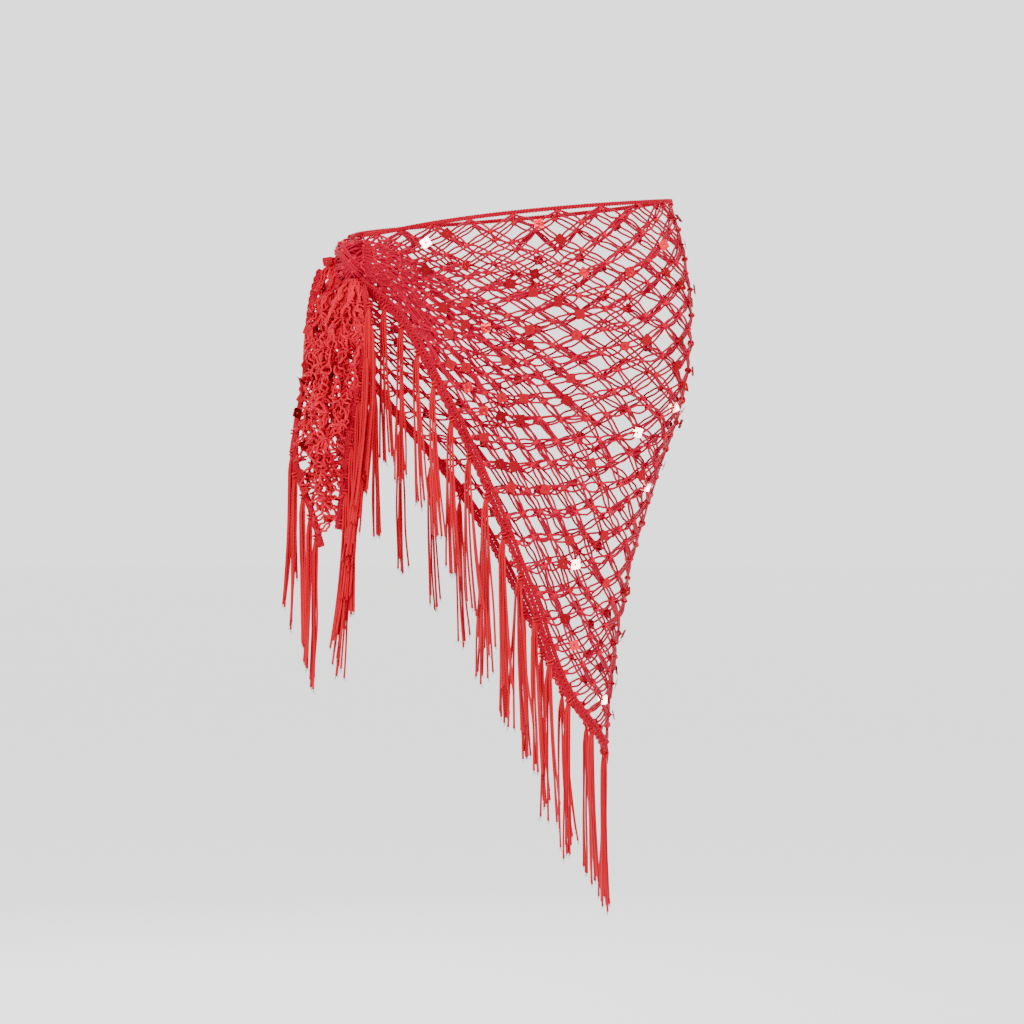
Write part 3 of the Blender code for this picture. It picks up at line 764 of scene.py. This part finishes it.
tailTassels = {
    "front": {"count": 15, "cords": 5, "from": 0.08, "fan": 2.2, "lean": -9, "stagger": 5},
    "back": {"count": 7, "cords": 5, "from": 0.49, "fan": 0.9, "lean": -4, "stagger": 0},
}


def tailEdge(side, name, at):  # a point on one of a tail's edges, from the knot (0) to the tip (1)
    table = tails[side]
    tip, top = table["height"][0], table["height"][-1]
    height = top + (tip - top) * np.asarray(at, float)
    x, y = (smooth(table, "height", name + axis, height) for axis in "XY")
    return np.stack([x, y, height], -1)


def tailPoint(side, at, share):
    at, share = np.clip(at, 0, 1), np.clip(share, 0, 1)
    plain = tailEdge(side, "plain", at)
    across = tailEdge(side, "fringed", at) - plain
    aside = unit(np.cross(across, -up))
    most = smooth(tails[side], "height", "fold", plain[..., 2])
    wave = np.sin(2 * np.pi * tail["waves"] * share) * (1 - (2 * share - 1) ** tail["endFlatness"])
    return plain + times(share, across) + times(most * wave, aside)


def tailSurface(side, at, share):
    point = tailPoint(side, at, share)
    fall = tailPoint(side, at + 0.01, share) - tailPoint(side, at - 0.01, share)
    wide = tailPoint(side, at, share + 0.02) - tailPoint(side, at, share - 0.02)
    return point, unit(np.cross(wide, fall))


def tailFrame(side, at):
    edge = tailEdge(side, "fringed", at)
    across = edge - tailEdge(side, "plain", at)
    low, high = np.maximum(at - 0.01, 0), np.minimum(at + 0.01, 1)
    along = tailEdge(side, "fringed", high) - tailEdge(side, "fringed", low)
    normal = unit(np.cross(across, -up))
    outward = unit(np.cross(along, normal))
    outward = np.where((outward * across).sum(-1, keepdims=True) < 0, -outward, outward)
    reach = border["gap"] + tail["borderWidth"]
    return edge + outward * reach - normal * border["thick"] / 2, normal, outward, unit(along)


def makeTail(side):
    first, last = netCut["knotColumn"][side], netCut["lastColumn"]
    knots, sides, place, inside = netLattice(first, last, lambda a, b: b / max(last - a, 1))
    place[:, 0] = ((place[:, 0] - first) / (last - first)) ** tail["crowdedTip"]
    shift = rng.normal(size=place.shape) * np.array([tail["fallShift"], tail["shareShift"]])
    place = place + shift * inside[:, None]
    surface = partial(tailSurface, side)
    points, normals = surface(*place.T)
    stray = tail["crumple"] * rng.normal(size=points.shape) * np.array([1, 1, tail["crumpleUp"]])
    stray = times(np.where(inside, 1, tail["crumpleEdge"]), stray)
    stray = np.clip(stray, -2 * tail["crumple"], 2 * tail["crumple"])
    points = points + stray
    loose = np.zeros(len(place))
    paths, facing = drawnLoops(surface, place, stray, sides, tail, loose)
    tied = knots[:, 0] < last  # the last one is lost in the border
    points, normals = points[tied], normals[tied]
    parts = [tubes(paths, tail["cord"] / 2, facing)] + tiedKnots(points, normals, tail, loose[tied])
    cloth = makePiece(side + "_tail_net", parts, ["tailNet", "netKnots"], ["tail_" + side])
    dense = np.linspace(tail["borderStart"], 1, 200)
    look = tailTassels[side]
    at = look["from"] + (1 - look["from"]) * middles(look["count"])
    lacing, cords = makeEdging(side + "_tail", "tail_" + side + "_fringe", tailFrame(side, dense),
                               tail["borderWidth"] + tail["laceOver"], tailFrame(side, at), look)
    return cloth, lacing, cords, points + tail["cord"] * normals, normals


hipKnot = {
    "half": (18.6, 14, 22), "roundness": 2.6, "core": 0.8, "coreRows": 12, "coreReach": 1.45,
    "cord": 2.3, "points": 36, "highest": 0.98, "ripple": 0.02,
    "uneven": (0.03, 0.06, 0.18, 0.018),  # of a turn's height, slant, phase and size
    "netKnots": 44, "netKnotsReach": 0.8, "netKnotsSize": 0.97,
    # level turns, then the bands slung over them: cords, height, span, slant, where it is highest, size
    "bands": [(20, 0, 0.93, 0.12, 0, 0.9), (9, 0.05, 0.36, 0.78, 0.9, 1.03),
              (8, -0.2, 0.3, -0.66, 0.4, 0.98), (5, 0.5, 0.16, -0.3, 1.4, 1.01)],
}


def knotShape(across, roundIt, size):  # a rounded block, standing on the hip
    def powered(value):
        return np.sign(value) * np.abs(value) ** (2 / hipKnot["roundness"])

    centre = formPoint(worn["knotAngle"], worn["knotHeight"])
    out = unit(formNormal(worn["knotAngle"], worn["knotHeight"]) * np.array([1, 1, 0]))
    along = np.cross(out, up)
    level = powered(np.cos(across))
    place = [level * powered(np.cos(roundIt)), level * powered(np.sin(roundIt)), powered(np.sin(across))]
    axes = (along, out, up)
    offset = sum(times(half * part, axis) for half, part, axis in zip(hipKnot["half"], place, axes))
    return centre + out * worn["knotOut"] + times(size, offset)


def knotTurn(height, slant, phase, size, roundIt):  # one turn of cord, at a share of the knot's height
    rise = np.clip(height + slant * np.sin(roundIt + phase), -hipKnot["highest"], hipKnot["highest"])
    across = np.arcsin(np.sign(rise) * np.abs(rise) ** (hipKnot["roundness"] / 2))
    return knotShape(across, roundIt, size + hipKnot["ripple"] * np.sin(3 * roundIt + 5 * height))


def makeHipKnot():  # the two ends wound round each other: level turns, and bands of cords slung over them
    count, rows, reach = hipKnot["points"], hipKnot["coreRows"], hipKnot["coreReach"]
    roundIt = np.arange(count) * 2 * np.pi / count
    paths = []
    for cords, height, span, slant, phase, size in hipKnot["bands"]:
        for at in np.linspace(height - span, height + span, cords):
            stray = np.array(hipKnot["uneven"]) * rng.normal(size=4)
            paths.append(knotTurn(*(np.array([at, slant, phase, size]) + stray), roundIt))
    paths = np.array(paths)
    facing = unit(paths - paths.mean(axis=(0, 1)))
    parts = [tubes(paths, hipKnot["cord"] / 2, facing, closed=True)]
    core = knotShape(np.linspace(-reach, reach, rows)[:, None], roundIt[None], hipKnot["core"])
    i, j = np.meshgrid(np.arange(rows - 1) * count, np.arange(count), indexing="ij")
    n = (j + 1) % count
    quad = np.stack([i + j, i + n, i + count + n, i + count + j], -1).reshape(-1, 4)
    ends = np.stack([np.arange(count)[::-1], (rows - 1) * count + np.arange(count)])
    uvs = [np.zeros((len(quad), 4, 2)), np.zeros((2, count, 2))]
    parts.append((core.reshape(-1, 3), [quad, ends], uvs, 0))
    height = hipKnot["netKnotsReach"] * rng.uniform(-1, 1, hipKnot["netKnots"])
    turn = rng.uniform(0, 2 * np.pi, hipKnot["netKnots"])
    points = knotTurn(height, 0, 0, hipKnot["netKnotsSize"], turn)
    parts += tiedKnots(points, unit(points - knotShape(0, 0, 0)), net, np.ones(len(points)))
    return makePiece("hip_knot", parts, ["net", "netKnots"], ["knot"])


sequin = {
    "side": 9.5, "thick": 0.35, "hole": 1.1, "cornerCut": 0.9, "share": 0.27, "tailShare": 0.3,
    "tilt": 0.2, "tailTilt": 0.4, "spin": 0.35, "out": 3, "tiltedOut": 2.5, "glintOut": 5.2, "lastColumn": 17,
    "thread": 0.9, "threadFrom": 1.5, "threadHead": 1.6, "headHeight": 1,
    "facesCamera": 0.35,  # a glint's knot leans no further from the camera than this cosine
    # where a sequin shines, in pixels of the photo
    "glints": [(425, 245), (641, 423), (675, 403), (650, 500), (587, 573), (605, 690)],
}


def sequinShape():  # a thin square plate with cut corners and a round hole
    half, short, turn = sequin["side"] / 2, sequin["side"] / 2 - sequin["cornerCut"], np.arange(8) * np.pi / 4
    outer = np.array([(half, -short), (half, short), (short, half), (-short, half),
                      (-half, short), (-half, -short), (-short, -half), (short, -half)])
    hole = sequin["hole"] * np.stack([np.cos(turn), np.sin(turn)], -1)
    loops = [np.column_stack([loop, np.full(8, z)]) for z in (-sequin["thick"] / 2, sequin["thick"] / 2)
             for loop in (outer, hole)]
    j = np.arange(8)
    n = (j + 1) % 8
    # Bands of faces: the top, the bottom, the rim and the hole's wall.
    faces = [np.stack([a + j, a + n, b + n, b + j], -1) for a, b in ((16, 24), (8, 0), (0, 16), (24, 8))]
    return np.concatenate(loops), [np.concatenate(faces)], [np.zeros((32, 4, 2))], 0


def makeSequins(name, knots, places, facing, material):  # one at each place, threaded to its knot
    spin = sequin["spin"] * rng.normal(size=(len(places), 1))
    level = unit(np.cross(up, facing))
    sideways = np.cos(spin) * level + np.sin(spin) * np.cross(facing, level)
    # The thread goes through the hole and ends in a small head.
    rise = sequin["headHeight"] * facing
    threads = np.stack([knots, places, places + rise / 2, places + rise], 1)
    thin, head = sequin["thread"] / 2, sequin["threadHead"] / 2
    radius = np.array([thin, thin, head, thin])
    parts = [stamp(sequinShape(), places, sideways, np.cross(facing, sideways), facing),
             tubes(threads, radius, sideways[:, None], sides=5, finish=1)]
    piece = makePiece(name, parts, [material, "netKnots"], [])
    piece.data.shade_flat()
    return piece


def scatterSequins(name, points, normals, tilt):  # a tilted one stands on its edge, clear of the cords
    facing = unit(normals + tilt * rng.normal(size=points.shape))
    leaning = np.linalg.norm(np.cross(facing, normals), axis=1)
    places = points + times(sequin["out"] + sequin["tiltedOut"] * leaning, normals)
    return makeSequins(name, points - sequin["threadFrom"] * normals, places, facing, "sequin")


def glintNormals(points):  # the tilt at which a sequin throws the key light at the camera
    toCamera = unit(np.array(studio["cameraFrom"]) - points)
    toLamp = unit(np.array(studio["lights"]["key"][0]) - points)
    return unit(toCamera + toLamp)


def nearestTo(pixel, points, normals):  # of the knots that face the camera, the nearest to a photo pixel
    away = points - np.array(studio["cameraFrom"])
    hidden = (unit(-away) * normals).sum(1) < sequin["facesCamera"]
    shown = studio["lens"] / studio["sensor"] * studio["frame"] / away[:, 1]
    x, y = studio["frame"] / 2 + away[:, 0] * shown, studio["frame"] / 2 - away[:, 2] * shown
    return int(np.argmin((x - pixel[0]) ** 2 + (y - pixel[1]) ** 2 + 1e6 * hidden))


makeStudio()
materials = {
    "net": cordMaterial("twistedViscoseNetCord", netLook),
    "netKnots": cordMaterial("tightViscoseKnots", paintedLitKnotLook),
    "tailNet": cordMaterial("gatheredViscoseNetCord", paintedBounceTailLook),
    "crochet": cordMaterial("crochetedViscoseCord", crochetLook),
    "fringe": cordMaterial("straightViscoseFringeCord", fringeLook),
    "sequin": sequinMaterial("redMetallisedFilm", {
        "films": [(0, "#7e0312"), (0.6, "#a3061c"), (1, "#c00a26")], "edge": "#a0141c",
        "ripple": 4, "rippleDepth": 0.25, "roughness": 0.16, "roughSpread": 0.048}),
    # Painted highlight: the glint sequins are a pale rose copy of the red film, so they show white where they
    # throw the key light at the camera; their tilt toward that lamp is real.
    "glint": sequinMaterial("roseMetallisedFilm", {
        "films": [(0, "#ffa294"), (1, "#ffc8bc")], "edge": "#ffd8d0",
        "ripple": 4, "rippleDepth": 0.05, "roughness": 0.2, "roughSpread": 0.06}),
}
makeWaistChain()
makeHipKnot()
for side in ("front", "back"):
    cloth, points, normals, knots = makeNet(side)
    lacing, cords = makeWrapEdge(side)
    inside = (knots[:, 1] > 0) & (knots.sum(1) < netCut["lastColumn"] - 1)
    chosen = (rng.random(len(points)) < sequin["share"]) & inside & (knots[:, 0] < sequin["lastColumn"])
    if side == "front":
        bright = [nearestTo(pixel, points, normals) for pixel in sequin["glints"]]
        chosen[bright] = False
        toLight = glintNormals(points[bright])
        held = points[bright] - sequin["threadFrom"] * normals[bright]
        places = points[bright] + sequin["glintOut"] * toLight
        makeSequins("front_glints", held, places, toLight, "glint")
    scatterSequins(side + "_sequins", points[chosen], normals[chosen], sequin["tilt"])
    # Laid flat, this net is deepest at the middle and shallower at the knot.
    cloth, lacing, cords, points, normals = makeTail(side)
    chosen = rng.random(len(points)) < sequin["tailShare"]
    flash = scatterSequins(side + "_tail_sequins", points[chosen], normals[chosen], sequin["tailTilt"])

print("triangles in all:", sum(triangles.values()))
